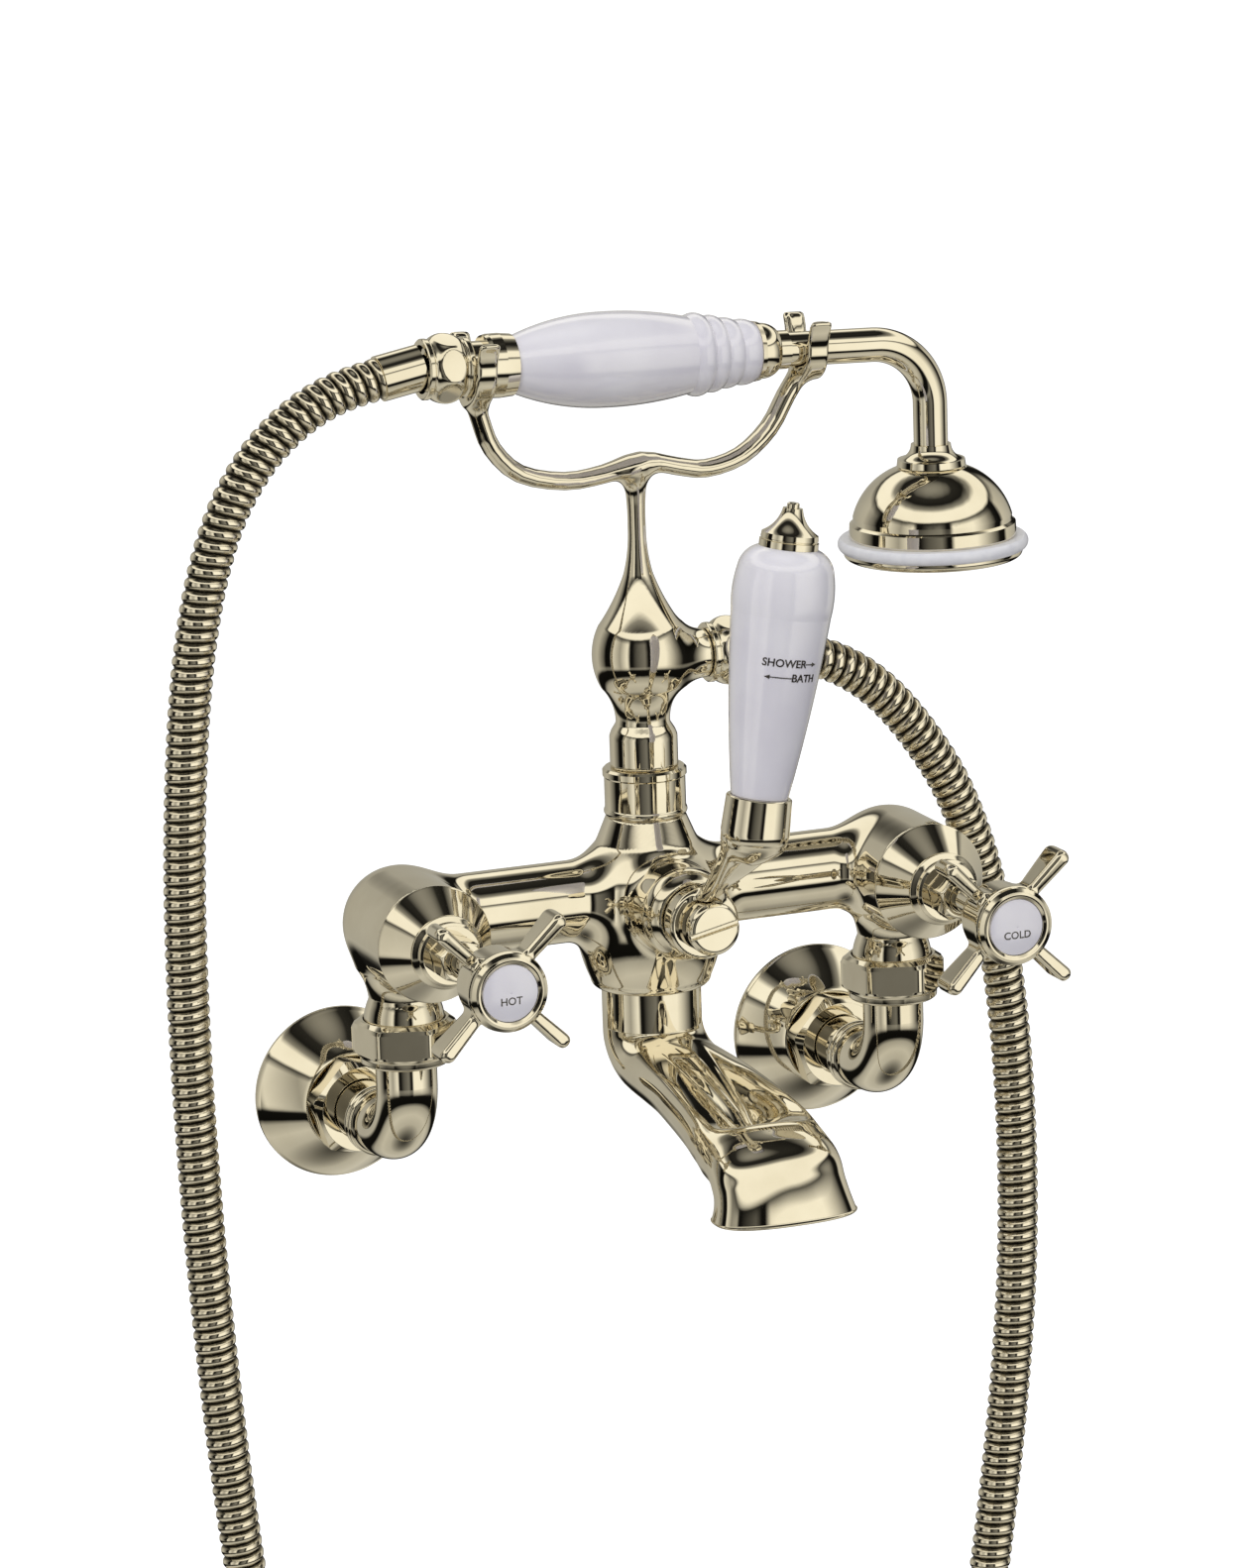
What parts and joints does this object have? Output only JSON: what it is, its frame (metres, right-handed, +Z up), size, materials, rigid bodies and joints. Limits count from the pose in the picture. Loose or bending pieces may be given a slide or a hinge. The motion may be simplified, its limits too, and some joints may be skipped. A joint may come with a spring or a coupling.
{
  "type": "wall mounted bath faucet",
  "caption": "Wall-mounted bath filler with cross handles, a diverter lever, a downward spout and a hand shower resting on a cradle above it.",
  "frame": {"origin": "midway between the two inlet centres, on the finished wall face", "axes": "+X to the right of a bather who faces the wall, +Y into the wall, +Z up"},
  "size_m": [0.3153, 0.2235, 0.7103],
  "materials": {
    "nickel": "polished nickel plate on brass",
    "bare_brass": "machined brass",
    "hose_metal": "polished nickel, wound interlocked strip",
    "porcelain": "white glazed porcelain, opaque",
    "alumina": "lapped alumina ceramic, opaque",
    "white_rubber": "white silicone",
    "black_rubber": "black rubber"
  },
  "bodies": {
    "filler": {"bonnet_cold": "nickel", "bonnet_hot": "nickel", "ceramic_seat_discs": "alumina", "diverter_cartridge": "bare_brass", "diverter_gland": "nickel", "gland_nuts": "nickel", "hose_ferrule_riser": "nickel", "inlet_elbow_cold": "nickel", "inlet_elbow_hot": "nickel", "inlet_tail_cold": "bare_brass", "inlet_tail_hot": "bare_brass", "outlet_nut": "nickel", "outlet_washer": "black_rubber", "riser_collar_nut": "nickel", "riser_cradle": "nickel", "shower_hose": "hose_metal", "spout": "nickel", "spout_collar": "nickel", "spout_seal": "black_rubber", "valve_body": "nickel", "valve_cartridges": "bare_brass", "valve_union_nuts": "nickel", "valve_union_washers": "black_rubber", "wall_flange_cold": "nickel", "wall_flange_hot": "nickel", "wall_union_nuts": "nickel", "wall_union_washers": "black_rubber"},
    "hot_handle": {"spindle_hot": "nickel", "ceramic_turning_disc_hot": "alumina", "cross_handle_hot": "nickel", "handle_screw_hot": "nickel", "index_bezel_hot": "nickel", "index_button_hot": "porcelain"},
    "cold_handle": {"spindle_cold": "nickel", "ceramic_turning_disc_cold": "alumina", "cross_handle_cold": "nickel", "handle_screw_cold": "nickel", "index_bezel_cold": "nickel", "index_button_cold": "porcelain"},
    "diverter_lever": {"diverter_spindle": "nickel", "lever_arm": "nickel", "lever_cap_screw": "nickel", "lever_collar": "nickel", "lever_grip": "porcelain", "lever_tie_rod": "bare_brass", "lever_finial": "nickel", "lever_tip_screw": "nickel"},
    "handset": {"handset_tailpiece": "nickel", "grip_collar": "nickel", "handset_grip": "porcelain", "handset_tie_tube": "bare_brass", "pipe_ferrule": "nickel", "handset_pipe": "nickel", "rose_cap": "nickel", "rose_bell": "nickel", "rose_gasket": "white_rubber", "rose_face_plate": "nickel", "handset_nut": "nickel", "hose_ferrule_handset": "nickel"}
  },
  "joints": [
    {"name": "hot_turn", "type": "hinge", "parent": "filler", "child": "hot_handle", "pos_m": [-0.09, -0.16, 0.077], "axis": [0, -1, 0], "range_deg": [0, 90]},
    {"name": "cold_turn", "type": "hinge", "parent": "filler", "child": "cold_handle", "pos_m": [0.09, -0.16, 0.077], "axis": [0, -1, 0], "range_deg": [-90, 0]},
    {"name": "diverter_turn", "type": "hinge", "parent": "filler", "child": "diverter_lever", "pos_m": [0, -0.12, 0.077], "axis": [0, 1, 0], "range_deg": [-53.8, 36.2]},
    {"name": "handset_lift", "type": "slide", "parent": "filler", "child": "handset", "axis": [0.0398, 0, 0.9992], "range_m": [0, 0.08]}
  ]
}
